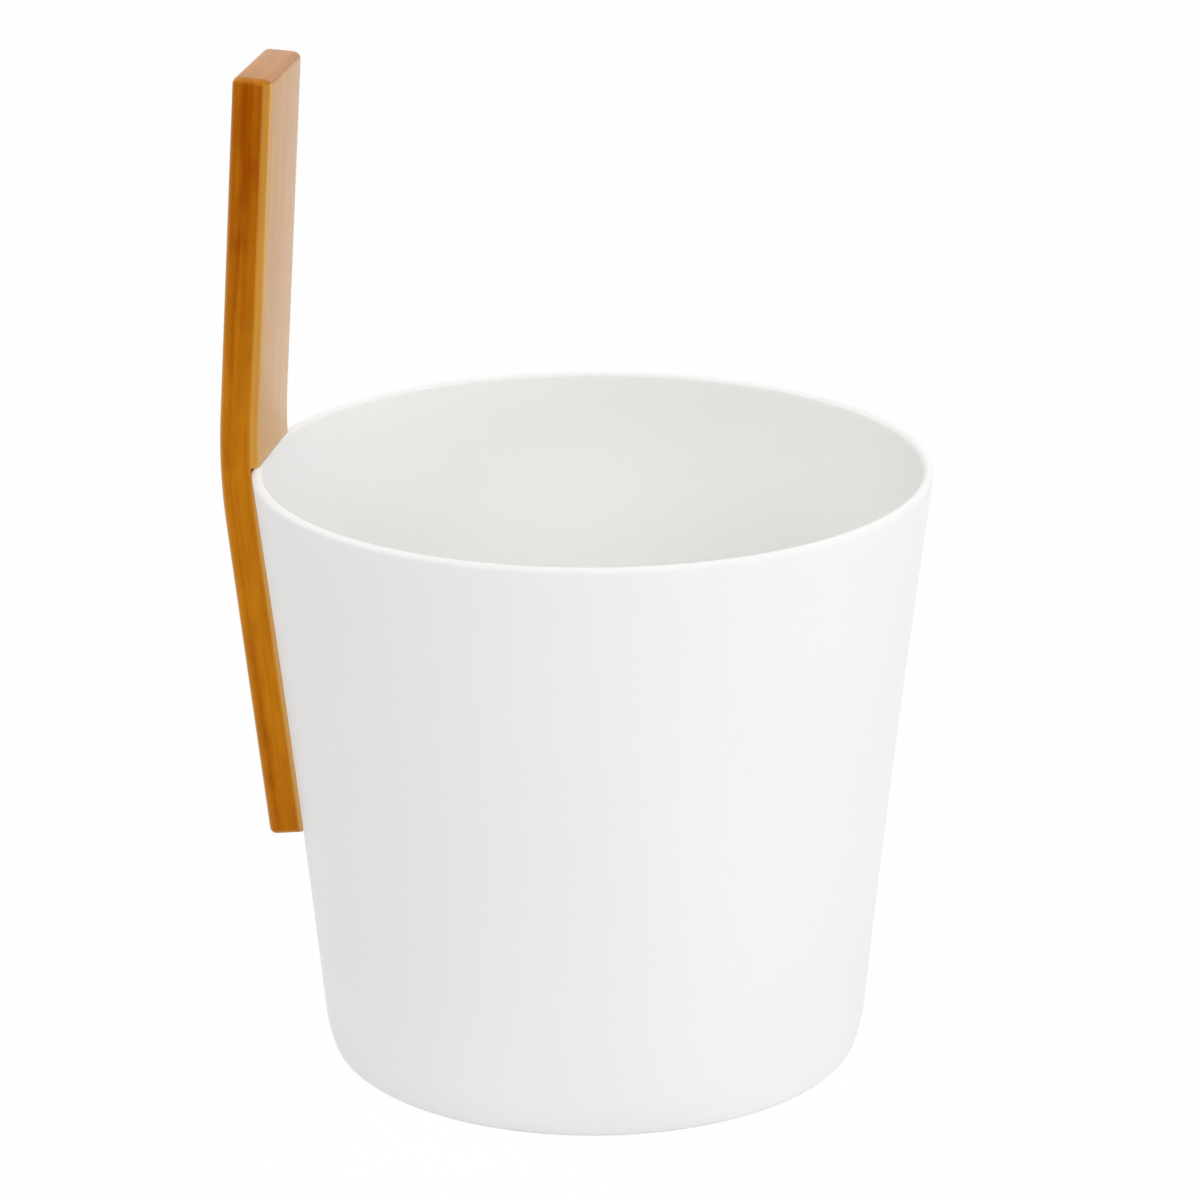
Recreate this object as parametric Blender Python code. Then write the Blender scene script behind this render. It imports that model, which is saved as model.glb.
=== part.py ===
"""Sauna bucket: a drawn, coated bucket with a bent bamboo handle screwed to its side.

Metres, +Z up. The origin is on the floor at the middle of the base. The handle stands on the
-X side, and the plane Y = 0 halves the whole object.
"""
import math

import bmesh
import bpy
from mathutils import Matrix, Vector

# Bucket, outside sizes
RIM_RADIUS = 0.110  # where the wall's straight line meets the rim's height
RIM_HEIGHT = 0.198
CONE_RADIUS = 0.0887  # where the same line would meet the floor
WALL_SAG = 0.0008  # how far the wall is hollow against that line at half height
WALL = 0.0033
FLOOR = 0.0033
HEEL_HEIGHT = 0.0137  # below this the wall turns in more strongly
HEEL_RADIUS = 0.054
BASE_CORNER = 0.0028
INNER_CORNER = 0.007

# Handle, three bamboo strips pressed to one bend
HANDLE_WIDTH = 0.0456
HANDLE_BOTTOM = 0.0726  # middle of the lower end
HANDLE_TOP = 0.3260  # middle of the upper end
OUTER_LAMELLA = 0.0034
CORE_LAMELLA = 0.0034
INNER_LAMELLA = 0.0060
GLUE_LINE = 0.0003
SEAT_DEPTH = 0.0038  # how far the flat inner face lies inside the wall's chord behind it
BEND_DROP = 0.0185  # the bend starts this far below the rim
BEND_RADIUS = 0.200  # on the handle's middle line
HANDLE_LEAN = math.radians(3.65)  # of the grip, towards the bucket
INNER_ROUND = 0.0032  # of the two long arrises on the inner face
OUTER_ROUND = 0.0023  # of all other arrises

# Fastening, one stack of pieces at each screw
SCREW_DROP = 0.041  # upper screw below the rim
SCREW_RISE = 0.0232  # lower screw above the handle's lower end
SHANK_RADIUS = 0.0025
HEAD_RADIUS = 0.00475
HEAD_HEIGHT = 0.0028
HEAD_ROUND = 0.0018
SOCKET_RADIUS = 0.00173  # across the corners of the hexagon
SOCKET_DEPTH = 0.0016
WASHER_RADIUS = 0.005
WASHER_THICKNESS = 0.001
SEAL_RADIUS = 0.0052
SEAL_THICKNESS = 0.0015
INSERT_RADIUS = 0.004
INSERT_LENGTH = 0.0060

# Fits and mesh fineness
CLEARANCE = 0.0003  # between pieces that touch
OVERRUN = 0.006  # how far a cutter passes what it cuts
MERGE = 0.000001
BUCKET_STEPS = 72
FASTENER_STEPS = 24
WALL_STEPS = 5
ARC_STEPS = 4
BEND_STEPS = 8
ROUND_STEPS = 4
SHARP_ANGLE = math.radians(35)


def wall_radius(height):
    """Outer radius of the wall above the heel."""
    share = height / RIM_HEIGHT
    line = CONE_RADIUS + (RIM_RADIUS - CONE_RADIUS) * share
    return line - 4 * WALL_SAG * share * (1 - share)


def wall_angle(height):
    """Angle of the wall to the vertical."""
    share = height / RIM_HEIGHT
    rise = RIM_RADIUS - CONE_RADIUS - 4 * WALL_SAG * (1 - 2 * share)
    return math.atan2(rise, RIM_HEIGHT)


# Values that follow from the sizes above
HANDLE_THICKNESS = OUTER_LAMELLA + CORE_LAMELLA + INNER_LAMELLA
TAPER = math.atan2(RIM_RADIUS - wall_radius(HANDLE_BOTTOM), RIM_HEIGHT - HANDLE_BOTTOM)
UP_THE_WALL = Vector((-math.sin(TAPER), 0, math.cos(TAPER)))
OUT_OF_WALL = Vector((-math.cos(TAPER), 0, -math.sin(TAPER)))
UP_THE_GRIP = Vector((math.sin(HANDLE_LEAN), 0, math.cos(HANDLE_LEAN)))


def clear_scene():
    for old in list(bpy.data.objects):
        bpy.data.objects.remove(old, do_unlink=True)


def make_material(name, color, roughness, metallic):
    material = bpy.data.materials.new(name)
    material.use_nodes = True
    shader = material.node_tree.nodes["Principled BSDF"]
    shader.inputs["Base Color"].default_value = (*color, 1)
    shader.inputs["Roughness"].default_value = roughness
    shader.inputs["Metallic"].default_value = metallic
    return material


def make_object(name, shape, material=None):
    """Turn a bmesh into an object. An object with no material is a cutter."""
    mesh = bpy.data.meshes.new(name)
    shape.to_mesh(mesh)
    shape.free()
    mesh.shade_smooth()
    mesh.set_sharp_from_angle(angle=SHARP_ANGLE)
    made = bpy.data.objects.new(name, mesh)
    bpy.context.scene.collection.objects.link(made)
    if material is None:
        made.hide_render = True
        made.display_type = "WIRE"
    else:
        mesh.materials.append(material)
    return made


def cut(target, cutter):
    modifier = target.modifiers.new(cutter.name, "BOOLEAN")
    modifier.operation = "DIFFERENCE"
    modifier.solver = "EXACT"
    modifier.object = cutter


def arc(center, radius, start, end, steps=ARC_STEPS):
    """Points (radius, height) on an arc, both ends included."""
    angles = [start + (end - start) * step / steps for step in range(steps + 1)]
    return [(center[0] + radius * math.cos(a), center[1] + radius * math.sin(a)) for a in angles]


def turned(profile, steps, closed=False):
    """Spin a profile of (radius, height) points about Z. A closed one makes a ring."""
    shape = bmesh.new()
    corners = [shape.verts.new((radius, 0, height)) for radius, height in profile]
    edges = [shape.edges.new(pair) for pair in zip(corners, corners[1:])]
    if closed:
        edges.append(shape.edges.new((corners[-1], corners[0])))
    bmesh.ops.spin(shape, geom=corners + edges, cent=(0, 0, 0), axis=(0, 0, 1),
                   angle=math.tau, steps=steps, use_merge=True)
    bmesh.ops.remove_doubles(shape, verts=shape.verts, dist=MERGE)
    bmesh.ops.recalc_face_normals(shape, faces=shape.faces)
    return shape


def wall_points(top, bottom, depth):
    """The wall from top to bottom, moved in by depth along its normal."""
    points = []
    for step in range(WALL_STEPS + 1):
        height = top + (bottom - top) * step / WALL_STEPS
        angle = wall_angle(height)
        radius = wall_radius(height) - depth * math.cos(angle)
        points.append((radius, height + depth * math.sin(angle)))
    return points


def heel_points(level, depth, corner):
    """The heel arc and the corner that follows it, down to a flat at the given level."""
    start = wall_angle(HEEL_HEIGHT)
    radius = HEEL_RADIUS - depth
    center = (wall_radius(HEEL_HEIGHT) - HEEL_RADIUS * math.cos(start),
              HEEL_HEIGHT + HEEL_RADIUS * math.sin(start))
    drop = center[1] - level
    corner = min(corner, (drop - radius * math.sin(start)) / (1 - math.sin(start)))
    turn = math.asin((drop - corner) / (radius - corner))
    corner_center = (center[0] + (radius - corner) * math.cos(turn), level + corner)
    heel = arc(center, radius, -start, -turn)[1:]
    return heel + arc(corner_center, corner, -turn, -math.pi / 2)[1:]


def make_bucket(material):
    """One turned wall with a round rim, a heel and a flat floor."""
    lean = wall_angle(RIM_HEIGHT)
    rim_radius = WALL / 2
    wall_top = RIM_HEIGHT - rim_radius * (1 + math.sin(lean))
    rim_center = (wall_radius(wall_top) - rim_radius * math.cos(lean), RIM_HEIGHT - rim_radius)
    inside = wall_points(wall_top, HEEL_HEIGHT, WALL) + heel_points(FLOOR, WALL, INNER_CORNER)
    outside = wall_points(wall_top, HEEL_HEIGHT, 0) + heel_points(0, 0, BASE_CORNER)
    rim = arc(rim_center, rim_radius, math.pi - lean, -lean, 2 * ARC_STEPS)[1:-1]
    profile = [(0, FLOOR)] + inside[::-1] + rim + outside + [(0, 0)]
    return make_object("bucket_shell", turned(profile, BUCKET_STEPS), material)


def make_seat_cutter():
    """The bucket's outside, one clearance larger and solid, with a square edge at the rim."""
    top = RIM_HEIGHT + CLEARANCE
    side = wall_points(top, HANDLE_BOTTOM - OVERRUN, -CLEARANCE)
    side[0] = (side[0][0], top)
    profile = [(0, top)] + side + [(0, side[-1][1])]
    return make_object("seat_cutter", turned(profile, BUCKET_STEPS))


def bent_bar(near, far):
    """A bar that follows the handle's bend, from depth near to depth far behind its inner face."""
    offset = HANDLE_THICKNESS / 2 - SEAT_DEPTH
    foot = Vector((-wall_radius(HANDLE_BOTTOM), 0, HANDLE_BOTTOM)) + OUT_OF_WALL * offset
    start = foot + UP_THE_WALL * ((HANDLE_BOTTOM - foot.z) / UP_THE_WALL.z)
    bend_start = foot + UP_THE_WALL * ((RIM_HEIGHT - BEND_DROP - foot.z) / UP_THE_WALL.z)
    bend_center = bend_start - OUT_OF_WALL * BEND_RADIUS
    bend_angle = TAPER + HANDLE_LEAN
    bend_top = bend_center.z + BEND_RADIUS * math.sin(HANDLE_LEAN)
    grip_length = (HANDLE_TOP - bend_top) / UP_THE_GRIP.z

    shape = bmesh.new()
    side = Vector((0, HANDLE_WIDTH / 2, 0))
    inner = start + OUT_OF_WALL * (near - HANDLE_THICKNESS / 2)
    outer = start + OUT_OF_WALL * (far - HANDLE_THICKNESS / 2)
    corners = [shape.verts.new(p) for p in (inner - side, inner + side, outer + side, outer - side)]
    end = [shape.edges.new(pair) for pair in zip(corners, corners[1:] + corners[:1])]

    def extrude(step):
        grown = bmesh.ops.extrude_edge_only(shape, edges=end)["geom"]
        moved = [item for item in grown if isinstance(item, bmesh.types.BMVert)]
        bmesh.ops.translate(shape, verts=moved, vec=step)
        return [item for item in grown if isinstance(item, bmesh.types.BMEdge)]

    end = extrude(bend_start - start)
    spun = bmesh.ops.spin(shape, geom=end, cent=bend_center, axis=(0, 1, 0),
                          angle=bend_angle, steps=BEND_STEPS)["geom_last"]
    end = [item for item in spun if isinstance(item, bmesh.types.BMEdge)]
    extrude(UP_THE_GRIP * grip_length)
    bmesh.ops.holes_fill(shape, edges=shape.edges)
    bmesh.ops.remove_doubles(shape, verts=shape.verts, dist=MERGE)
    bmesh.ops.recalc_face_normals(shape, faces=shape.faces)
    return shape


def round_edges(shape, edges, radius):
    """Round those of the edges that are sharp."""
    sharp = [edge for edge in edges if edge.calc_face_angle() > SHARP_ANGLE]
    bmesh.ops.bevel(shape, geom=sharp, offset=radius, segments=ROUND_STEPS, profile=0.5,
                    affect="EDGES", material=-1)


def joins_inner_face(edge):
    """Whether an edge lies between the handle's inner face and one of its sides."""
    toward = edge.link_faces[0].normal + edge.link_faces[1].normal
    return toward.x > 0.5 and abs(toward.y) > 0.5


def rounded_strip(near, far):
    """One strip of the handle, rounded on the handle's outside and square in its glue lines."""
    shape = bent_bar(near, far)

    def glued(face):
        inward, outward = face.normal.x > 0.5, face.normal.x < -0.5
        return (inward and near > 0) or (outward and far < HANDLE_THICKNESS)

    def outside_edges():
        return [edge for edge in shape.edges if not any(glued(face) for face in edge.link_faces)]

    round_edges(shape, [edge for edge in outside_edges() if joins_inner_face(edge)], INNER_ROUND)
    round_edges(shape, outside_edges(), OUTER_ROUND)
    return shape


def make_handle(material, cutters):
    """Three strips with a glue line between each two."""
    first_line = INNER_LAMELLA
    second_line = INNER_LAMELLA + CORE_LAMELLA
    strips = (
        ("handle_inner_lamella", 0, first_line - GLUE_LINE / 2),
        ("handle_core_lamella", first_line + GLUE_LINE / 2, second_line - GLUE_LINE / 2),
        ("handle_outer_lamella", second_line + GLUE_LINE / 2, HANDLE_THICKNESS),
    )
    made = []
    for name, near, far in strips:
        strip = make_object(name, rounded_strip(near, far), material)
        for cutter in cutters:
            cut(strip, cutter)
        made.append(strip)
    return made


def screw_frame(height):
    """Frame of a fastening: origin on the outer wall, local +Z square out of the wall."""
    place = Matrix.Translation((-wall_radius(height), 0, height))
    return place @ Matrix.Rotation(-(math.pi / 2 + TAPER), 4, "Y")


def make_rod(name, radius, bottom, top, frame, steps=FASTENER_STEPS):
    """A plain cutter rod along a fastening's axis."""
    profile = [(0, bottom), (radius, bottom), (radius, top), (0, top)]
    rod = make_object(name, turned(profile, steps))
    rod.matrix_world = frame
    return rod


def make_ring(name, inner, outer, bottom, top, frame, material):
    profile = [(inner, bottom), (outer, bottom), (outer, top), (inner, top)]
    ring = make_object(name, turned(profile, FASTENER_STEPS, closed=True), material)
    ring.matrix_world = frame
    return ring


def make_screw(name, under_head, tip, frame, material):
    """A low round head with a hexagon socket, on a plain shank."""
    head_top = under_head - HEAD_HEIGHT
    crown = arc((HEAD_RADIUS - HEAD_ROUND, head_top + HEAD_ROUND), HEAD_ROUND, -math.pi / 2, 0)
    profile = [(0, head_top)] + crown + [(HEAD_RADIUS, under_head), (SHANK_RADIUS, under_head)]
    profile += [(SHANK_RADIUS, tip), (0, tip)]
    screw = make_object(name, turned(profile, FASTENER_STEPS), material)
    screw.matrix_world = frame
    socket = make_rod(name + "_socket", SOCKET_RADIUS, head_top - OVERRUN, head_top + SOCKET_DEPTH,
                      frame, steps=6)
    cut(screw, socket)
    return screw


def make_fastening(which, height, finishes):
    """Seal, washer and screw inside the wall, threaded insert in the handle, and their two holes."""
    frame = screw_frame(height)
    hole = SHANK_RADIUS + CLEARANCE
    insert_end = CLEARANCE + INSERT_LENGTH
    wall_hollow = SEAL_RADIUS ** 2 / (2 * (wall_radius(height) - WALL))
    seal_seat = -WALL - wall_hollow - CLEARANCE
    washer_seat = seal_seat - SEAL_THICKNESS - CLEARANCE
    head_seat = washer_seat - WASHER_THICKNESS - CLEARANCE

    pieces = [
        make_ring(which + "_sealing_ring", hole, SEAL_RADIUS, seal_seat - SEAL_THICKNESS, seal_seat,
                  frame, finishes["seal"]),
        make_ring(which + "_screw_washer", hole, WASHER_RADIUS, washer_seat - WASHER_THICKNESS,
                  washer_seat, frame, finishes["steel"]),
        make_ring(which + "_threaded_insert", hole, INSERT_RADIUS, CLEARANCE, insert_end, frame,
                  finishes["brass"]),
        make_screw(which + "_handle_screw", head_seat, insert_end, frame, finishes["steel"]),
    ]
    wall_hole = make_rod(which + "_wall_hole", hole, head_seat, CLEARANCE, frame)
    insert_hole = make_rod(which + "_insert_hole", INSERT_RADIUS + CLEARANCE, -WALL,
                           insert_end + CLEARANCE, frame)
    return pieces, wall_hole, insert_hole


def main():
    clear_scene()
    white = make_material("white_coating", (0.86, 0.86, 0.85), 0.45, 0)
    bamboo = make_material("bamboo", (0.48, 0.24, 0.05), 0.5, 0)
    finishes = {
        "steel": make_material("stainless_steel", (0.62, 0.62, 0.60), 0.3, 1),
        "brass": make_material("insert_brass", (0.70, 0.52, 0.22), 0.35, 1),
        "seal": make_material("sealing_rubber", (0.05, 0.05, 0.05), 0.8, 0),
    }
    bucket = make_bucket(white)
    pieces = [bucket]
    handle_cutters = [make_seat_cutter()]
    screw_heights = (("upper", RIM_HEIGHT - SCREW_DROP), ("lower", HANDLE_BOTTOM + SCREW_RISE))
    for which, height in screw_heights:
        fastening, wall_hole, insert_hole = make_fastening(which, height, finishes)
        pieces += fastening
        cut(bucket, wall_hole)
        handle_cutters.append(insert_hole)
    pieces += make_handle(bamboo, handle_cutters)

    root = bpy.data.objects.new("sauna_bucket", None)
    bpy.context.scene.collection.objects.link(root)
    for piece in pieces:
        piece.parent = root


main()
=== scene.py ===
# %% [markdown]
# # A sauna bucket in white coat and bamboo
#
# The object is a deep drawn bowl of metal with a satin white coat, and one flat bamboo handle
# that stands up from its side. The construction model already holds every piece at its real
# size, so this lesson only makes the surfaces: smooth shapes in place of faceted ones, and a
# finish for each of them. The construction model is loaded first and stays where it is.

# %% Load the construction model
import math

import bmesh
import bpy
from mathutils import Matrix, Vector


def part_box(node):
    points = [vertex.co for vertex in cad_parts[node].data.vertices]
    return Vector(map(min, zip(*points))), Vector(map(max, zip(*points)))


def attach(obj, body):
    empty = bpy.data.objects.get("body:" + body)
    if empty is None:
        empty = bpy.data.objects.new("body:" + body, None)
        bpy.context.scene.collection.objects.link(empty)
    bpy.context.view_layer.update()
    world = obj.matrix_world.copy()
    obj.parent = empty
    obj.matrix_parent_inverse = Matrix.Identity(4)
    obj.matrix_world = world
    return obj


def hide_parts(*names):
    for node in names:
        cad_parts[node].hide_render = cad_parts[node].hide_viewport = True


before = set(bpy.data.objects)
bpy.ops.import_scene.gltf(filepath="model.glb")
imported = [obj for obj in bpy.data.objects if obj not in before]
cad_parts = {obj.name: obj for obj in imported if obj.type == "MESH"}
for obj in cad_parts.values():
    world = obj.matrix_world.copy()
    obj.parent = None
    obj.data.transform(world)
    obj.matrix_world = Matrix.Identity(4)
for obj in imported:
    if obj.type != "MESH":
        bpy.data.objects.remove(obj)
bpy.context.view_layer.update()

scene = bpy.context.scene
scene.view_settings.view_transform = "Standard"
print("construction model:", sorted(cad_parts))

# %% [markdown]
# ## The camera
#
# The photograph looks down on the bucket from a long way off through a long lens, a little to
# the right of the handle's side view. A camera can be dragged into place by eye, but here it is
# set by the angles and the distance that make the rim's ellipse and the wall's taper agree with
# the photograph, because those stay readable as numbers.

# %% Camera
LENS_MM = 150
SENSOR_MM = 36
CAMERA_TURN = math.radians(9.53)
CAMERA_TILT = math.radians(18.50)
CAMERA_ROLL = math.radians(-0.22)
CAMERA_DISTANCE = 1.6283
AIM_HEIGHT = 0.1516
AIM_SIDE = 0.0022

aim = Vector((AIM_SIDE * math.cos(CAMERA_TURN), AIM_SIDE * math.sin(CAMERA_TURN), AIM_HEIGHT))


def facing_aim(turn, tilt, distance):
    """Place of a camera or lamp that faces the aim. Turn 0 is the -Y side, tilt is upwards."""
    level = math.cos(tilt)
    toward = Vector((math.sin(turn) * level, -math.cos(turn) * level, math.sin(tilt)))
    return (
        Matrix.Translation(aim + toward * distance)
        @ Matrix.Rotation(turn, 4, "Z")
        @ Matrix.Rotation(math.pi / 2 - tilt, 4, "X")
    )


camera_data = bpy.data.cameras.new("camera")
camera_data.lens = LENS_MM
camera_data.sensor_width = SENSOR_MM
camera = bpy.data.objects.new("camera", camera_data)
scene.collection.objects.link(camera)
camera.matrix_world = (
    facing_aim(CAMERA_TURN, CAMERA_TILT, CAMERA_DISTANCE)
    @ Matrix.Rotation(CAMERA_ROLL, 4, "Z")
)
scene.camera = camera
print("camera at", [round(value, 3) for value in camera.matrix_world.translation])

# %% [markdown]
# ## Writing a finish as sums
#
# A procedural finish is mostly arithmetic: this mask times that noise, plus a little more. Wired
# by hand it becomes a page of Math nodes, so a small class wraps an output socket and lets Python
# operators add those nodes. A second class makes every other node from its type, its settings
# and what its sockets get.

# %% Sockets that can be added and multiplied
class Wire:
    """An output socket. Arithmetic on it adds Math nodes to its tree."""

    def __init__(self, tree, socket):
        self.tree = tree
        self.socket = socket

    def math(self, operation, *terms):
        """A Math node of an operation on its terms."""
        return self.tree.node("Math", {"operation": operation}, dict(enumerate(terms)))

    def __add__(self, other):
        return self.math("ADD", self, other)

    def __sub__(self, other):
        return self.math("SUBTRACT", self, other)

    def __rsub__(self, other):
        return self.math("SUBTRACT", other, self)

    def __mul__(self, other):
        return self.math("MULTIPLY", self, other)

    def __truediv__(self, other):
        return self.math("DIVIDE", self, other)

    def __neg__(self):
        return self.math("MULTIPLY", self, -1)

    def __abs__(self):
        return self.math("ABSOLUTE", self)

    def __pow__(self, other):
        return self.math("POWER", self, other)

    __radd__ = __add__
    __rmul__ = __mul__

    def exp(self):
        return self.math("EXPONENT", self)

    def larger(self, other):
        return self.math("MAXIMUM", self, other)

    def smaller(self, other):
        return self.math("MINIMUM", self, other)

    def fade(self, start, end):
        """0 at start and 1 at end, smooth between."""
        sockets = {"Value": self, "From Min": start, "From Max": end}
        return self.tree.node("MapRange", {"interpolation_type": "SMOOTHSTEP"}, sockets)


print("socket arithmetic is ready")


# %% Node trees that are filled by calls
class Finish:
    """The node tree of a material or a world."""

    def __init__(self, tree):
        self.nodes = tree.nodes
        self.links = tree.links

    def feed(self, socket, value):
        """Link a wire to an input socket, or set the socket to a plain value."""
        if isinstance(value, Wire):
            self.links.new(value.socket, socket)
        else:
            socket.default_value = value

    def node(self, kind, settings={}, sockets={}, output=0):
        """Add a node of a type, with its settings first and then what its sockets get."""
        made = self.nodes.new("ShaderNode" + kind)
        for name, value in settings.items():
            setattr(made, name, value)
        for name, value in sockets.items():
            self.feed(made.inputs[name], value)
        return Wire(self, made.outputs[output])

    def mix(self, factor, first, second):
        """A colour between two colours, which are a Mix node's sockets 6, 7 and output 2."""
        return self.node("Mix", {"data_type": "RGBA"}, {0: factor, 6: first, 7: second}, 2)

    def split(self, vector):
        """The three numbers of a vector."""
        return [self.node("SeparateXYZ", {}, {0: vector}, axis) for axis in range(3)]

    def stretch(self, vector, *factors):
        """A vector with each of its numbers times a factor."""
        return self.node("VectorMath", {"operation": "MULTIPLY"}, {0: vector, 1: factors})

    def noise(self, vector, scale, detail=2.0, roughness=0.5):
        """A noise texture. A scale of 1 / size gives marks of about that size."""
        sockets = {"Vector": vector, "Scale": scale, "Detail": detail, "Roughness": roughness}
        return self.node("TexNoise", {}, sockets)

    def bump(self, height, distance):
        """A normal for a surface that rises by the distance where the height is 1."""
        return self.node("Bump", {}, {"Height": height, "Distance": distance, "Strength": 1.0})

    def shade(self, **sockets):
        """Feed the Principled shader. A socket's name is written with _ for each space."""
        shader = self.nodes["Principled BSDF"]
        for name, value in sockets.items():
            self.feed(shader.inputs[name.replace("_", " ")], value)


def new_finish(name):
    """A new material, and its node tree."""
    material = bpy.data.materials.new(name)
    material.use_nodes = True
    return material, Finish(material.node_tree)


print("node trees are ready")

# %% [markdown]
# ## Floor and light
#
# The photograph has a bare white ground and broad soft light that is a little stronger from the
# right. One bright sky would do that roughly, but with lamps each side's share is a number: one
# large soft lamp in front, one high on the left, two on the right that make that side the brighter
# one, and two behind that reach the inside of the wall and the handle's back. A very weak sky fills
# what they leave dark. The ground must look white without lighting the bucket any more, so only
# rays from the camera and from reflections see its added glow, and its plain part keeps the shadow.

# %% Floor
STUDIO_FLOOR_RADIUS = 5.0
STUDIO_FLOOR_STEPS = 96
STUDIO_FLOOR_COLOR = (0.96, 0.96, 0.96, 1)
STUDIO_FLOOR_GLOW = 0.965
WHITE = (1, 1, 1, 1)


def seen_directly(finish):
    """1 for rays that show the background itself, 0 for rays that carry its light."""
    path = [finish.node("LightPath", output=name)
            for name in ("Is Camera Ray", "Is Glossy Ray", "Is Transmission Ray")]
    return path[0].larger(path[1]).larger(path[2])


floor_material, floor_finish = new_finish("studio_floor")
floor_finish.nodes.remove(floor_finish.nodes["Principled BSDF"])
plain = floor_finish.node("BsdfDiffuse", {}, {"Color": STUDIO_FLOOR_COLOR})
glow = floor_finish.node("Emission", {}, {"Color": WHITE, "Strength": 1})
share = seen_directly(floor_finish) * STUDIO_FLOOR_GLOW
floor_surface = floor_finish.node("MixShader", {}, {0: share, 1: plain, 2: glow})
floor_finish.feed(floor_finish.nodes["Material Output"].inputs["Surface"], floor_surface)

floor_shape = bmesh.new()
bmesh.ops.create_circle(floor_shape, cap_ends=True, segments=STUDIO_FLOOR_STEPS,
                        radius=STUDIO_FLOOR_RADIUS)
floor_mesh = bpy.data.meshes.new("studio_floor")
floor_shape.to_mesh(floor_mesh)
floor_shape.free()
floor_mesh.materials.append(floor_material)
studio_floor = bpy.data.objects.new("studio_floor", floor_mesh)
scene.collection.objects.link(studio_floor)
print("studio floor radius", STUDIO_FLOOR_RADIUS, "m")

# %% Sky and lamps
SKY_STRENGTH = 0.05


def softbox(name, turn, tilt, distance, size, watts):
    """A square lamp that faces the bucket from a turn and a tilt, in degrees."""
    data = bpy.data.lights.new(name, "AREA")
    data.size = size
    data.energy = watts
    lamp = bpy.data.objects.new(name, data)
    scene.collection.objects.link(lamp)
    lamp.matrix_world = facing_aim(math.radians(turn), math.radians(tilt), distance)


world = bpy.data.worlds.new("studio_sky")
world.use_nodes = True
scene.world = world
sky = Finish(world.node_tree)
background = sky.nodes["Background"]
sky.feed(background.inputs["Color"], WHITE)
sky.feed(background.inputs["Strength"], SKY_STRENGTH + seen_directly(sky) * (1 - SKY_STRENGTH))
softbox("front_lamp", turn=10, tilt=30, distance=2.4, size=1.6, watts=20.4)
softbox("right_lamp", turn=60, tilt=45, distance=2.2, size=1.8, watts=14.0)
softbox("side_lamp", turn=100, tilt=8, distance=2.2, size=0.9, watts=9.7)
softbox("left_lamp", turn=-60, tilt=65, distance=1.8, size=1.8, watts=11.2)
softbox("left_back_lamp", turn=-110, tilt=35, distance=2.2, size=1.6, watts=15.2)
softbox("right_back_lamp", turn=150, tilt=40, distance=2.2, size=1.6, watts=12.2)
print("lamps:", [light.name for light in bpy.data.lights])

# %% [markdown]
# ## The white coat
#
# Powder coating melts into a smooth skin that is never quite flat: it keeps a fine ripple, and
# its sheen changes a little from place to place. A flat white would look like plastic, so the
# finish gets a faint drift of tone, a ripple as bump, and a roughness that varies a little. All
# three read the piece's own coordinates in metres, so their sizes are real sizes.

# %% White coat
COAT_COLOR = (0.956, 0.954, 0.945, 1)
COAT_SHADE = (0.948, 0.945, 0.935, 1)
COAT_RIPPLE_SIZE = 0.0011
COAT_RIPPLE_HEIGHT = 0.000012
COAT_RIPPLE_SHARE = 0.75
COAT_GRIT_SIZE = 0.00035
COAT_DRIFT_SIZE = 0.06
COAT_DRIFT_RANGE = (0.3, 0.7)
COAT_ROUGHNESS = 0.44
COAT_IOR = 1.46

white_coat, finish = new_finish("white_coat")
place = finish.node("TexCoord", output="Object")
ripple = finish.noise(place, 1 / COAT_RIPPLE_SIZE, detail=1.0)
grit = finish.noise(place, 1 / COAT_GRIT_SIZE, detail=1.0)
drift = finish.noise(place, 1 / COAT_DRIFT_SIZE, detail=3.0)
skin = ripple * COAT_RIPPLE_SHARE + grit * (1 - COAT_RIPPLE_SHARE)
finish.shade(
    Base_Color=finish.mix(drift.fade(*COAT_DRIFT_RANGE), COAT_COLOR, COAT_SHADE),
    Roughness=COAT_ROUGHNESS + drift * 0.06 + grit * 0.05,
    Normal=finish.bump(skin, COAT_RIPPLE_HEIGHT),
    IOR=COAT_IOR,
)
print("white coat ripple", COAT_RIPPLE_SIZE * 1000, "mm")

# %% [markdown]
# ## The bucket
#
# The bowl is drawn from one disc of sheet: a flat floor, a small corner, a heel that eases into
# the wall, a wall that flares a touch towards the top, and a smooth round rim. A cylinder with
# bevelled edges would come near it, but all of that is one outline turned about the middle, and an
# outline keeps every radius as it is. A pen draws it with two strokes: a straight one extrudes the
# last vertex, and a round one spins it about a centre.

# %% A pen for outlines
MERGE = 0.000001


class Pen:
    """Draws an outline in the XZ plane, and turns it about Z."""

    def __init__(self, radius, height):
        self.shape = bmesh.new()
        self.tip = self.shape.verts.new((radius, 0, height))

    def line(self, radius, height):
        """Go straight to a radius and a height."""
        self.tip = bmesh.ops.extrude_vert_indiv(self.shape, verts=[self.tip])["verts"][0]
        self.tip.co = (radius, 0, height)

    def swing(self, center, angle, steps):
        """Go round a centre. A positive angle runs from +X towards +Z."""
        spun = bmesh.ops.spin(self.shape, geom=[self.tip], cent=(center[0], 0, center[1]),
                              axis=(0, -1, 0), angle=angle, steps=steps)
        self.tip = spun["geom_last"][0]

    def turn(self, steps):
        """Spin the outline into a closed body and hand it over."""
        outline = list(self.shape.verts) + list(self.shape.edges)
        bmesh.ops.spin(self.shape, geom=outline, cent=(0, 0, 0), axis=(0, 0, 1),
                       angle=math.tau, steps=steps, use_merge=True)
        bmesh.ops.remove_doubles(self.shape, verts=self.shape.verts, dist=MERGE)
        bmesh.ops.recalc_face_normals(self.shape, faces=self.shape.faces)
        return self.shape


print("pen is ready")

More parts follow.
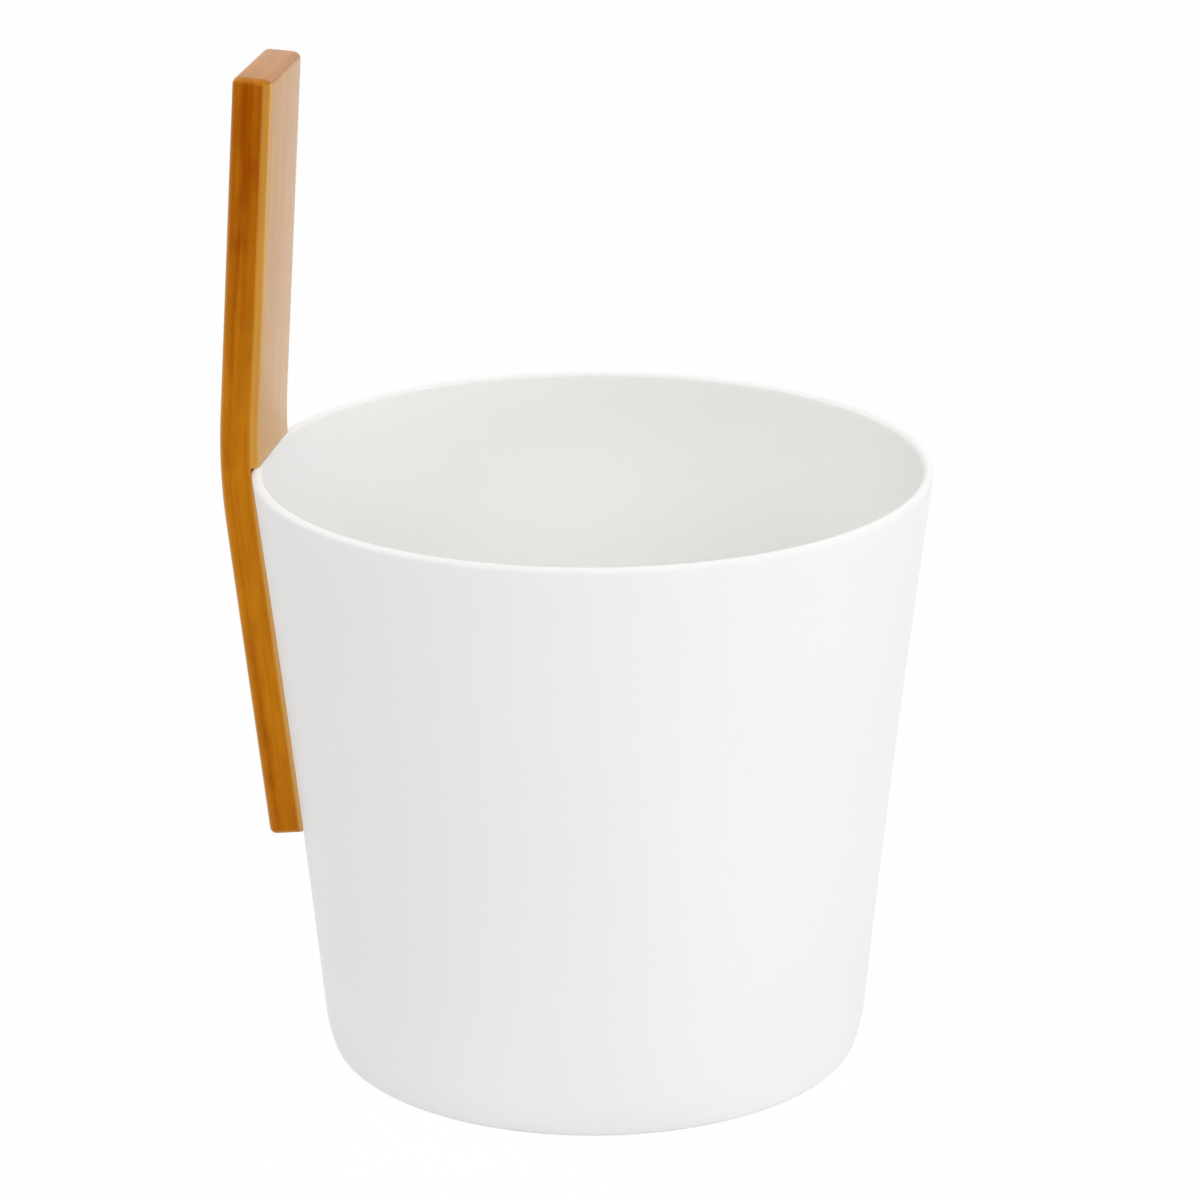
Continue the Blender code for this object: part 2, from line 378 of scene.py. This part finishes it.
# %% Bucket sizes
RIM_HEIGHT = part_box("bucket_shell")[1].z
RIM_RADIUS = 0.110
CONE_RADIUS = 0.0887
WALL_SAG = 0.0008
WALL = 0.0033
FLOOR = 0.0033
HEEL_HEIGHT = 0.0137
HEEL_RADIUS = 0.054
BASE_CORNER = 0.0028
INNER_CORNER = 0.007


def wall_radius(height):
    """Outer radius of the wall: a straight taper, drawn in by the sag at half height."""
    share = height / RIM_HEIGHT
    return CONE_RADIUS + (RIM_RADIUS - CONE_RADIUS) * share - 4 * WALL_SAG * share * (1 - share)


def wall_angle(height):
    """Lean of the wall from the vertical."""
    share = height / RIM_HEIGHT
    return math.atan2(RIM_RADIUS - CONE_RADIUS - 4 * WALL_SAG * (1 - 2 * share), RIM_HEIGHT)


print("rim height from the frame:", round(RIM_HEIGHT, 4))

# %% Round stretches of the bucket
rim_lean = wall_angle(RIM_HEIGHT)
rim_round = WALL / 2
wall_top = RIM_HEIGHT - rim_round * (1 + math.sin(rim_lean))
rim_center = (wall_radius(wall_top) - rim_round * math.cos(rim_lean), RIM_HEIGHT - rim_round)
heel_lean = wall_angle(HEEL_HEIGHT)
heel_center = (wall_radius(HEEL_HEIGHT) - HEEL_RADIUS * math.cos(heel_lean),
               HEEL_HEIGHT + HEEL_RADIUS * math.sin(heel_lean))


def corner_below_heel(level, radius, corner):
    """Where a heel of that radius turns into a corner that ends on a flat: centre and angle."""
    drop = heel_center[1] - level
    turn = math.asin((drop - corner) / (radius - corner))
    return (heel_center[0] + (radius - corner) * math.cos(turn), level + corner), turn


def wall_arc(low, high):
    """The arc of the wall between two heights, which ends with the rim's lean: centre, angle."""
    lean = wall_angle(low)
    turn = rim_lean - lean
    chord = math.hypot(wall_radius(high) - wall_radius(low), high - low)
    radius = chord / (2 * math.sin(turn / 2))
    return (wall_radius(low) + radius * math.cos(lean), low - radius * math.sin(lean)), turn


base_corner_center, base_turn = corner_below_heel(0, HEEL_RADIUS, BASE_CORNER)
inner_corner_center, inner_turn = corner_below_heel(FLOOR, HEEL_RADIUS - WALL, INNER_CORNER)
flare_center, flare = wall_arc(HEEL_HEIGHT, wall_top)
print("the wall flares by", round(math.degrees(flare), 2), "degrees")

# %% Bucket outline
BASE_CORNER_STEPS = 6
HEEL_STEPS = 8
WALL_STEPS = 16
RIM_STEPS = 14
INNER_CORNER_STEPS = 8

pen = Pen(0, 0)
pen.line(base_corner_center[0], 0)
pen.swing(base_corner_center, math.pi / 2 - base_turn, BASE_CORNER_STEPS)
pen.swing(heel_center, base_turn - heel_lean, HEEL_STEPS)
pen.swing(flare_center, -flare, WALL_STEPS)
pen.swing(rim_center, math.pi, RIM_STEPS)
pen.swing(flare_center, flare, WALL_STEPS)
pen.swing(heel_center, heel_lean - inner_turn, HEEL_STEPS)
pen.swing(inner_corner_center, inner_turn - math.pi / 2, INNER_CORNER_STEPS)
pen.line(0, FLOOR)
print("outline points:", len(pen.shape.verts))

# %% Bucket piece
BUCKET_STEPS = 192


def new_piece(name, shape, material, slot, *nodes):
    """Make an object of a bmesh, and let it stand for its construction nodes."""
    mesh = bpy.data.meshes.new(name)
    shape.to_mesh(mesh)
    shape.free()
    mesh.materials.append(material)
    piece = bpy.data.objects.new(name, mesh)
    scene.collection.objects.link(piece)
    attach(piece, "root")
    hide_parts(*nodes)
    return piece


bucket = new_piece("bucket", pen.turn(BUCKET_STEPS), white_coat, "white_coating", "bucket_shell")
print("bucket faces:", len(bucket.data.polygons))

# %% [markdown]
# ## The handle
#
# The handle is pressed from three bamboo strips, glued and bent together in a mould, so its grain
# follows the bend. A long box and a bend modifier could make a strip, but a spin shows the bend's
# real radius as a number. So each strip starts as the four corners of its end, which are extruded
# up to the bend, spun through it and extruded to the top. Only the arrises that stay on the outside
# of the finished bar are rounded. Below the rim the inner strip is milled hollow, so that it
# sits on the wall, and its shoulder rests on the rim.

# %% Handle sizes
HANDLE_WIDTH = 0.0456
HANDLE_BOTTOM = 0.0726
HANDLE_TOP = 0.3260
OUTER_STRIP = 0.0034
CORE_STRIP = 0.0034
INNER_STRIP = 0.0060
SEAT_DEPTH = 0.0038
BEND_DROP = 0.0185
BEND_RADIUS = 0.200
HANDLE_LEAN = math.radians(3.65)

handle_thickness = OUTER_STRIP + CORE_STRIP + INNER_STRIP
wall_behind = wall_radius(HANDLE_BOTTOM)
taper = math.atan2(RIM_RADIUS - wall_behind, RIM_HEIGHT - HANDLE_BOTTOM)
up_the_wall = Vector((-math.sin(taper), 0, math.cos(taper)))
out_of_wall = Vector((-math.cos(taper), 0, -math.sin(taper)))
up_the_grip = Vector((math.sin(HANDLE_LEAN), 0, math.cos(HANDLE_LEAN)))
bend_angle = taper + HANDLE_LEAN

wall_foot = Vector((-wall_behind, 0, HANDLE_BOTTOM))
wall_foot += out_of_wall * (handle_thickness / 2 - SEAT_DEPTH)


def on_middle_line(height):
    """The point of the handle's lower middle line at a height."""
    return wall_foot + up_the_wall * ((height - wall_foot.z) / up_the_wall.z)


handle_start = on_middle_line(HANDLE_BOTTOM)
bend_start = on_middle_line(RIM_HEIGHT - BEND_DROP)
bend_center = bend_start - out_of_wall * BEND_RADIUS
bend_top_height = bend_center.z + BEND_RADIUS * math.sin(HANDLE_LEAN)
grip_length = (HANDLE_TOP - bend_top_height) / up_the_grip.z
print("handle thickness", round(handle_thickness * 1000, 1), "mm, bend",
      round(math.degrees(bend_angle), 1), "degrees")


# %% Straight places for bent points
def straight_place(point):
    """Where a point of the bent handle lay in the straight strip: depth, across, along.

    Depth counts from the inner face, and along counts upwards from the start of the bend.
    """
    arm = point - bend_center
    swing = math.atan2(arm.dot(up_the_wall), arm.dot(out_of_wall))
    swing = min(max(swing, 0), bend_angle)
    out = out_of_wall * math.cos(swing) + up_the_wall * math.sin(swing)
    up = up_the_wall * math.cos(swing) - out_of_wall * math.sin(swing)
    depth = arm.dot(out) - BEND_RADIUS + handle_thickness / 2
    return Vector((depth, point.y, BEND_RADIUS * swing + arm.dot(up)))


low_end = straight_place(handle_start).z
high_end = BEND_RADIUS * bend_angle + grip_length
print("straight strip from", round(low_end, 4), "to", round(high_end, 4), "along its length")

# %% Bent strips
BEND_STEPS = 32


def of_kind(items, kind):
    """Those of an operator's results that are of one kind."""
    return [item for item in items if isinstance(item, kind)]


def bent_strip(near, far):
    """A strip between two depths behind the handle's inner face, with square edges."""
    shape = bmesh.new()
    side = Vector((0, HANDLE_WIDTH / 2, 0))
    inner = handle_start + out_of_wall * (near - handle_thickness / 2)
    outer = handle_start + out_of_wall * (far - handle_thickness / 2)
    corners = [shape.verts.new(place)
               for place in (inner - side, inner + side, outer + side, outer - side)]
    end = [shape.edges.new(pair) for pair in zip(corners, corners[1:] + corners[:1])]

    def extrude(edges, step):
        grown = bmesh.ops.extrude_edge_only(shape, edges=edges)["geom"]
        bmesh.ops.translate(shape, verts=of_kind(grown, bmesh.types.BMVert), vec=step)
        return of_kind(grown, bmesh.types.BMEdge)

    end = extrude(end, bend_start - handle_start)
    spun = bmesh.ops.spin(shape, geom=end, cent=bend_center, axis=(0, 1, 0),
                          angle=bend_angle, steps=BEND_STEPS)["geom_last"]
    extrude(of_kind(spun, bmesh.types.BMEdge), up_the_grip * grip_length)
    bmesh.ops.holes_fill(shape, edges=shape.edges)
    bmesh.ops.remove_doubles(shape, verts=shape.verts, dist=MERGE)
    bmesh.ops.recalc_face_normals(shape, faces=shape.faces)
    return shape


strip_depths = {
    "inner": (0, INNER_STRIP),
    "core": (INNER_STRIP, INNER_STRIP + CORE_STRIP),
    "outer": (INNER_STRIP + CORE_STRIP, handle_thickness),
}
strips = {name: bent_strip(*depths) for name, depths in strip_depths.items()}
print("faces of the square strips:", {name: len(shape.faces) for name, shape in strips.items()})

# %% Rounded edges
INNER_ROUND = 0.0032
OUTER_ROUND = 0.0023
ROUND_STEPS = 8
SHARP_ANGLE = math.radians(35)
ON_FACE = MERGE * 10
# An edge faces a direction if its two normals add up to more than this in it.
FACING = 0.5


def round_edges(shape, edges, radius, steps=ROUND_STEPS):
    """Round those of the edges that are sharp."""
    sharp = [edge for edge in edges if edge.calc_face_angle() > SHARP_ANGLE]
    bmesh.ops.bevel(shape, geom=sharp, offset=radius, segments=steps, profile=0.5,
                    affect="EDGES", material=-1)


def end_depths(edge):
    """Depths of an edge's two ends behind the handle's inner face."""
    return [straight_place(corner.co).x for corner in edge.verts]


def on_grip_side(edge):
    """True for the two long arrises of the inner face, which face inwards and to a side."""
    toward = edge.link_faces[0].normal + edge.link_faces[1].normal
    is_arris = toward.x > FACING and abs(toward.y) > FACING
    return is_arris and max(end_depths(edge)) < ON_FACE


def glued(edge):
    """True for an edge that lies in a glue line."""
    depths = end_depths(edge)
    level = abs(depths[0] - depths[1]) < MERGE
    return level and ON_FACE < depths[0] < handle_thickness - ON_FACE


for shape in strips.values():
    round_edges(shape, [edge for edge in shape.edges if on_grip_side(edge)], INNER_ROUND)
    round_edges(shape, [edge for edge in shape.edges if not glued(edge)], OUTER_ROUND)
print("faces of the rounded strips:", {name: len(shape.faces) for name, shape in strips.items()})

# %% [markdown]
# ## The bamboo
#
# Bamboo is a bundle of long fibres. On the strip's sides they are fine streaks, and on its ends
# they are dots. A picture of wood wrapped round the strip would break at every edge, so one solid
# pattern, stretched far along the strip, gives both. It reads the straight place of each point,
# which is stored on the mesh, so the streaks follow the bend, and shorter blotches mottle them.
# The seams between the strips and the knuckles of the cane are darker. The wide faces and their
# rounded arrises are paler. A painted highlight makes the inner arrises and the inner face by the
# seat the palest, and painted light makes the strip lightest a little below the bend and darker
# towards the top. Seen head-on the lacquer has the stain's colour, and the flatter it is seen, the
# more and the whiter it reflects, which pales the wide face again.

# %% Bamboo fibres
# A pattern has a size across the strip and one along it.
FIBRE_SIZE = (0.0005, 0.030)
STREAK_SIZE = (0.0022, 0.075)
CLOUD_SIZE = (0.012, 0.060)
BLOTCH_SIZE = (0.0035, 0.013)
BUNDLE_SIZE = (0.0011, 0.090)
# A bundle shows as a dot, whose edge fades out between these shares of its size.
DOT_EDGE = (0.10, 0.34)

bamboo, finish = new_finish("bamboo")
grain = finish.node("Attribute", {"attribute_name": "grain"}, output="Vector")
depth, across, along = finish.split(grain)


def stretched(cross, length):
    """The grain coordinate in units of a pattern's size across and along the strip."""
    return finish.stretch(grain, 1 / cross, 1 / cross, 1 / length)


def grain_noise(size, detail=2.0, roughness=0.5):
    """A noise about zero that is stretched along the strip."""
    return finish.noise(stretched(*size), 1.0, detail, roughness) - 0.5


fibre = grain_noise(FIBRE_SIZE, roughness=0.6)
streak = grain_noise(STREAK_SIZE, detail=3.0, roughness=0.55)
cloud = grain_noise(CLOUD_SIZE)
blotch = grain_noise(BLOTCH_SIZE)
bundle = finish.node("TexVoronoi", {}, {"Vector": stretched(*BUNDLE_SIZE), "Scale": 1.0},
                     "Distance")
dots = 1 - bundle.fade(*DOT_EDGE)
print("bamboo fibres of", FIBRE_SIZE[0] * 1000, "mm, bundles of", BUNDLE_SIZE[0] * 1000, "mm")

# %% Seams and knuckles
GLUE_WIDTH = 0.00012
SEAM_WIDTH = 0.0009
SEAM_DRIFT = 0.0013
# A reach is where along the strip a mark begins, and where it is full.
SEAM_DRIFT_REACH = (0.06, 0.10)
INNER_SEAM_REACH = (0.02, 0.09)
INNER_SEAM_SHARE = 0.5
# Each knuckle has a depth and a place along, or, on the wide outer face, a side and a place along.
KNUCKLES = ((0.0095, 0.0930), (0.0050, 0.1180), (0.0074, -0.0350), (0.0105, -0.0880))
KNUCKLE_LENGTH = 0.0035
KNUCKLE_DEPTH = 0.0020
FACE_KNUCKLES = ((-0.0145, 0.0700), (0.0010, -0.0480), (0.0155, 0.0160))
FACE_KNUCKLE_LENGTH = 0.0014
FACE_KNUCKLE_WIDTH = 0.0062


def bell(value, width):
    """1 where the value is zero, falling off over the width."""
    return (-((value / width) ** 2)).exp()


glue_depths = [strip_depths[name][1] for name in ("inner", "core")]
glue = sum(bell(depth - line, GLUE_WIDTH) for line in glue_depths)
outer_drift = along.fade(*SEAM_DRIFT_REACH) * SEAM_DRIFT
outer_seam = bell(depth - glue_depths[1] + outer_drift, SEAM_WIDTH)
inner_seam = bell(depth - glue_depths[0], SEAM_WIDTH) * along.fade(*INNER_SEAM_REACH)
seam = outer_seam + inner_seam * INNER_SEAM_SHARE
knuckle = sum(bell(depth - deep, KNUCKLE_DEPTH) * bell(along - place, KNUCKLE_LENGTH)
              for deep, place in KNUCKLES)
face_knuckle = sum(
    bell(across - side, FACE_KNUCKLE_WIDTH) * bell(along - place, FACE_KNUCKLE_LENGTH)
    for side, place in FACE_KNUCKLES
)
face_knuckle = face_knuckle * (depth - glue_depths[1]).fade(0, GLUE_WIDTH)
print("glue lines at", [round(line * 1000, 1) for line in glue_depths], "mm from the inner face")

# %% Pale faces and painted highlights
FLAT_HALF = HANDLE_WIDTH / 2 - INNER_ROUND
PALE_FACE_END_SHARE = 0.5
# The painted highlight by the seat fades out between these depths, and between these places along
# the strip.
SEAT_EDGE = (0.0014, 0.0030)
SEAT_END = (0.012, 0.020)
# These ranges run over a rounded edge, from 0 where it starts to 1 where it ends.
END_RANGE = (0.1, 0.9)
PALE_INNER_RANGE = (0.0, 0.4)
PALE_OUTER_RANGE = (0.2, 1.2)
STAINED_RANGE = (0.25, 0.75)
ARRIS_HIGHLIGHT_RANGE = (0.75, 0.97)
PAST_FLAT_RANGE = (0.0, 0.35)

inner_face = 1 - depth / INNER_ROUND
outer_face = 1 - (handle_thickness - depth) / OUTER_ROUND
end_face = 1 - (high_end - along).smaller(along - low_end) / OUTER_ROUND
at_end = end_face.fade(*END_RANGE)
# The wide faces and their rounded arrises are paler, and the ends half as much.
pale_face = inner_face.fade(*PALE_INNER_RANGE).larger(outer_face.fade(*PALE_OUTER_RANGE))
pale_face = (pale_face * (1 - at_end)).larger(at_end * PALE_FACE_END_SHARE)
stained_edge = end_face.smaller(inner_face).fade(*STAINED_RANGE)
# Painted highlight on the inner face and its arrises by the wall, below the rim.
seat_painted_highlight = (1 - depth.fade(*SEAT_EDGE)) * (1 - along.fade(*SEAT_END))
past_flat = (abs(across) - FLAT_HALF) / INNER_ROUND
# Painted highlight on each inner arris, next to the flat inner face.
arris_painted_highlight = inner_face.fade(*ARRIS_HIGHLIGHT_RANGE) * past_flat.fade(*PAST_FLAT_RANGE)
print("flat of the inner face:", round(FLAT_HALF * 2000, 1), "mm wide")

# %% Bamboo colours
BAMBOO_LIGHT = (0.60, 0.215, 0.008, 1)
BAMBOO_DARK = (0.31, 0.055, 0.0005, 1)
BAMBOO_PALE_FACE = (0.68, 0.345, 0.064, 1)
BAMBOO_PALE_FACE_DARK = (0.47, 0.205, 0.030, 1)
BAMBOO_PAINTED_HIGHLIGHT = (0.78, 0.470, 0.160, 1)
BAMBOO_GLUE = (0.22, 0.050, 0.002, 1)
SIDE_TONE = 0.28
PALE_FACE_TONE = 0.30
# Painted light: the strip is lightest a little below the bend and darker towards the top. These
# give where it is strongest and how far it reaches.
PAINTED_LIGHT_PLACE = -0.02
PAINTED_LIGHT_REACH = 0.107
ARRIS_HIGHLIGHT_SHARE = 0.85
GLUE_SHARE = 0.12
STAINED_SHARE = 0.35

# A tone of 0 gives the dark colour and 1 the light one. Each number is a pattern's share in it.
# Painted light lifts the tone most a little below the bend.
lower_painted_light = bell(along - PAINTED_LIGHT_PLACE, PAINTED_LIGHT_REACH)
tone = SIDE_TONE + lower_painted_light * 0.59 - seam * 0.30 + streak * 0.75 + fibre * 0.25 + cloud * 0.5
tone = tone + blotch * 0.70 - dots * 0.10 - knuckle * 0.20
# The wide faces get the same painted light.
pale_face_tone = PALE_FACE_TONE + lower_painted_light * 0.6 + streak * 0.8 + fibre * 0.45 + cloud * 0.4 - dots * 0.2
pale_face_tone = pale_face_tone - face_knuckle * 0.45
side_color = finish.mix(tone, BAMBOO_DARK, BAMBOO_LIGHT)
face_color = finish.mix(pale_face_tone, BAMBOO_PALE_FACE_DARK, BAMBOO_PALE_FACE)
color = finish.mix(pale_face, side_color, face_color)
# Painted highlights: the palest colour goes on the inner arrises and on the inner face by the seat.
color = finish.mix(seat_painted_highlight.larger(arris_painted_highlight * ARRIS_HIGHLIGHT_SHARE), color, BAMBOO_PAINTED_HIGHLIGHT)
color = finish.mix((glue * GLUE_SHARE).larger(stained_edge * STAINED_SHARE), color, BAMBOO_GLUE)
print("bamboo tones from", SIDE_TONE, "on the sides and", PALE_FACE_TONE, "on the wide faces")

# %% Lacquer
LACQUER_TINT = (1.0, 0.4, 0.02, 1)
LACQUER_ROUGHNESS = 0.20
LACQUER_IOR = 1.6
FIBRE_HEIGHT = 0.00001

finish.shade(
    Base_Color=color,
    Roughness=LACQUER_ROUGHNESS + fibre * 0.08 + dots * 0.05 + at_end * 0.11,
    Normal=finish.bump(fibre * 0.6 + streak * 0.4 - dots * 0.4 - glue, FIBRE_HEIGHT),
    Specular_Tint=LACQUER_TINT,
    IOR=LACQUER_IOR,
)
print("bamboo nodes:", len(finish.nodes))

# %% [markdown]
# ## Milling and drilling
#
# The seat on the wall, the holes for screws and inserts and the sockets in the screw heads are all
# material taken away. Holes could be left out where nobody sees them, but a Boolean takes little
# work and does it as a mill would: a tool shape is made, used once and thrown away. The result is
# applied to the mesh at once, so that the piece that is kept is plain.

# %% Cutting tools
DRILL_STEPS = 48
OVERRUN = 0.006


def cut_away(piece, tool_shape, place=Matrix.Identity(4)):
    """Take a tool's shape out of a piece."""
    mesh = bpy.data.meshes.new("tool")
    tool_shape.to_mesh(mesh)
    tool_shape.free()
    mesh.transform(place)
    tool = bpy.data.objects.new("tool", mesh)
    scene.collection.objects.link(tool)
    modifier = piece.modifiers.new("cut", "BOOLEAN")
    modifier.object = tool
    modifier.solver = "EXACT"
    seen = piece.evaluated_get(bpy.context.evaluated_depsgraph_get())
    old = piece.data
    piece.data = bpy.data.meshes.new_from_object(seen)
    piece.data.name = old.name
    piece.modifiers.clear()
    bpy.data.meshes.remove(old)
    bpy.data.objects.remove(tool)
    bpy.data.meshes.remove(mesh)


def rod(radius, bottom, top, steps=DRILL_STEPS):
    """A closed rod along Z, round or with a few sides."""
    pen = Pen(0, bottom)
    pen.line(radius, bottom)
    pen.line(radius, top)
    pen.line(0, top)
    return pen.turn(steps)


print("tools overrun by", OVERRUN * 1000, "mm")

# %% Seat and screw places
SEAT_GAP = 0.0001
SCREW_DROP = 0.041
SCREW_RISE = 0.0232


def seat_tool():
    """The bucket's outside, a hair larger, with a square edge at the rim."""
    low = HANDLE_BOTTOM - OVERRUN
    lean = wall_angle(low)
    center, turn = wall_arc(low, RIM_HEIGHT)
    start = (wall_radius(low) + SEAT_GAP * math.cos(lean), low - SEAT_GAP * math.sin(lean))
    pen = Pen(0, start[1])
    pen.line(*start)
    pen.swing(center, -turn, WALL_STEPS)
    pen.line(pen.tip.co.x, RIM_HEIGHT + SEAT_GAP)
    pen.line(0, RIM_HEIGHT + SEAT_GAP)
    return pen.turn(BUCKET_STEPS)


def screw_place(height):
    """Frame of a fastening: origin on the outer wall, local +Z square out of the wall."""
    place = Matrix.Translation((-wall_radius(height), 0, height))
    return place @ Matrix.Rotation(-(math.pi / 2 + taper), 4, "Y")


screw_heights = {"upper": RIM_HEIGHT - SCREW_DROP, "lower": HANDLE_BOTTOM + SCREW_RISE}
print("screws at heights", {name: round(height, 4) for name, height in screw_heights.items()})

# %% Handle pieces
CLEARANCE = 0.0003
INSERT_RADIUS = 0.004
INSERT_LENGTH = 0.0060


def smooth(piece):
    """Smooth shading with crisp edges at real corners."""
    piece.data.shade_smooth()
    piece.data.set_sharp_from_angle(angle=SHARP_ANGLE)


insert_end = CLEARANCE + INSERT_LENGTH
for name, shape in strips.items():
    node = f"handle_{name}_lamella"
    strip = new_piece(f"handle_{name}_strip", shape, bamboo, "bamboo", node)
    if name == "inner":
        cut_away(strip, seat_tool())
    for height in screw_heights.values():
        hole = rod(INSERT_RADIUS + CLEARANCE, -WALL, insert_end + CLEARANCE)
        cut_away(strip, hole, screw_place(height))
    smooth(strip)
    grain_layer = strip.data.attributes.new("grain", "FLOAT_VECTOR", "POINT")
    for vertex, stored in zip(strip.data.vertices, grain_layer.data):
        stored.vector = straight_place(vertex.co)
    print(strip.name, "faces:", len(strip.data.polygons))

# %% Screw holes in the bucket
SHANK_RADIUS = 0.0025

hole_radius = SHANK_RADIUS + CLEARANCE
for height in screw_heights.values():
    cut_away(bucket, rod(hole_radius, -WALL - OVERRUN, OVERRUN), screw_place(height))
smooth(bucket)
print("drilled bucket faces:", len(bucket.data.polygons))

# %% [markdown]
# ## Screws, washers and seals
#
# The handle hides its fixing: two screws come through the wall from inside, each with a washer
# and a rubber seal, into brass inserts in the bamboo. They show only to someone who looks into
# the bucket. Plain cylinders would do from afar, but rounded edges catch the light, so the pieces
# are turned from outlines like the bucket, and each screw's socket is cut with a hexagon.

# %% Metal and rubber finishes
STEEL_COLOR = (0.60, 0.60, 0.585, 1)
STEEL_DARK = (0.50, 0.50, 0.49, 1)
BRASS_COLOR = (0.70, 0.50, 0.20, 1)
BRASS_DARK = (0.52, 0.35, 0.13, 1)
RUBBER_COLOR = (0.030, 0.030, 0.031, 1)
RUBBER_DUST = (0.060, 0.059, 0.057, 1)
MARK_HEIGHT = 0.000008
MARK_ROUGHNESS = 0.16
PATCH_SCALE = 0.1
PATCH_RANGE = (0.35, 0.65)


def grainy_finish(name, color, other, size, roughness, metallic):
    """Fine marks of a size rule the roughness and the bump, and larger patches the tone."""
    material, finish = new_finish(name)
    place = finish.node("TexCoord", output="Object")
    mark = finish.noise(place, 1 / size, detail=4.0, roughness=0.65)
    patch = finish.noise(place, PATCH_SCALE / size)
    finish.shade(
        Base_Color=finish.mix(patch.fade(*PATCH_RANGE), color, other),
        Roughness=roughness + mark * MARK_ROUGHNESS,
        Metallic=metallic,
        Normal=finish.bump(mark, MARK_HEIGHT),
    )
    return material


steel = grainy_finish("stainless_steel", STEEL_COLOR, STEEL_DARK,
                      size=0.00025, roughness=0.20, metallic=1.0)
brass = grainy_finish("insert_brass", BRASS_COLOR, BRASS_DARK,
                      size=0.0004, roughness=0.28, metallic=1.0)
rubber = grainy_finish("sealing_rubber", RUBBER_COLOR, RUBBER_DUST,
                       size=0.0003, roughness=0.62, metallic=0.0)
print("finishes:", [material.name for material in (steel, brass, rubber)])

# %% Rings and screws
HEAD_RADIUS = 0.00475
HEAD_HEIGHT = 0.0028
HEAD_ROUND = 0.0018
FASTENER_STEPS = 64
RING_ROUND_STEPS = 4


def ring(inner, outer, bottom, top, rounding):
    """A flat ring with rounded edges."""
    pen = Pen(inner, bottom)
    pen.line(outer, bottom)
    pen.line(outer, top)
    pen.line(inner, top)
    pen.line(inner, bottom)
    shape = pen.turn(FASTENER_STEPS)
    round_edges(shape, shape.edges, rounding, RING_ROUND_STEPS)
    return shape


def screw(under_head, tip):
    """A low round head on a plain shank."""
    head_top = under_head - HEAD_HEIGHT
    crown = (HEAD_RADIUS - HEAD_ROUND, head_top + HEAD_ROUND)
    pen = Pen(0, head_top)
    pen.line(crown[0], head_top)
    pen.swing(crown, math.pi / 2, ROUND_STEPS)
    pen.line(HEAD_RADIUS, under_head)
    pen.line(SHANK_RADIUS, under_head)
    pen.line(SHANK_RADIUS, tip)
    pen.line(0, tip)
    return pen.turn(FASTENER_STEPS)


print("screw heads of", HEAD_RADIUS * 2000, "mm")

# %% Fastening pieces
SOCKET_RADIUS = 0.00173
SOCKET_DEPTH = 0.0016
SOCKET_SIDES = 6
WASHER_RADIUS = 0.005
WASHER_THICKNESS = 0.001
WASHER_ROUND = 0.0002
SEAL_RADIUS = 0.0052
SEAL_THICKNESS = 0.0015
SEAL_ROUND = 0.0005

for which, height in screw_heights.items():
    wall_hollow = SEAL_RADIUS ** 2 / (2 * (wall_radius(height) - WALL))
    seal_seat = -WALL - wall_hollow - CLEARANCE
    washer_seat = seal_seat - SEAL_THICKNESS - CLEARANCE
    head_seat = washer_seat - WASHER_THICKNESS - CLEARANCE
    seal_shape = ring(hole_radius, SEAL_RADIUS, seal_seat - SEAL_THICKNESS, seal_seat, SEAL_ROUND)
    washer_shape = ring(hole_radius, WASHER_RADIUS, washer_seat - WASHER_THICKNESS, washer_seat,
                        WASHER_ROUND)
    made = [
        new_piece(which + "_seal", seal_shape, rubber, "sealing_rubber", which + "_sealing_ring"),
        new_piece(which + "_washer", washer_shape, steel, "stainless_steel",
                  which + "_screw_washer"),
        new_piece(which + "_screw", screw(head_seat, insert_end), steel, "stainless_steel",
                  which + "_handle_screw"),
    ]
    head_top = head_seat - HEAD_HEIGHT
    socket = rod(SOCKET_RADIUS, head_top - OVERRUN, head_top + SOCKET_DEPTH, SOCKET_SIDES)
    cut_away(made[-1], socket)
    for piece in made:
        piece.data.transform(screw_place(height))
        smooth(piece)
    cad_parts[which + "_threaded_insert"].material_slots[0].material = brass
    print(which, "fastening:", [piece.name for piece in made])
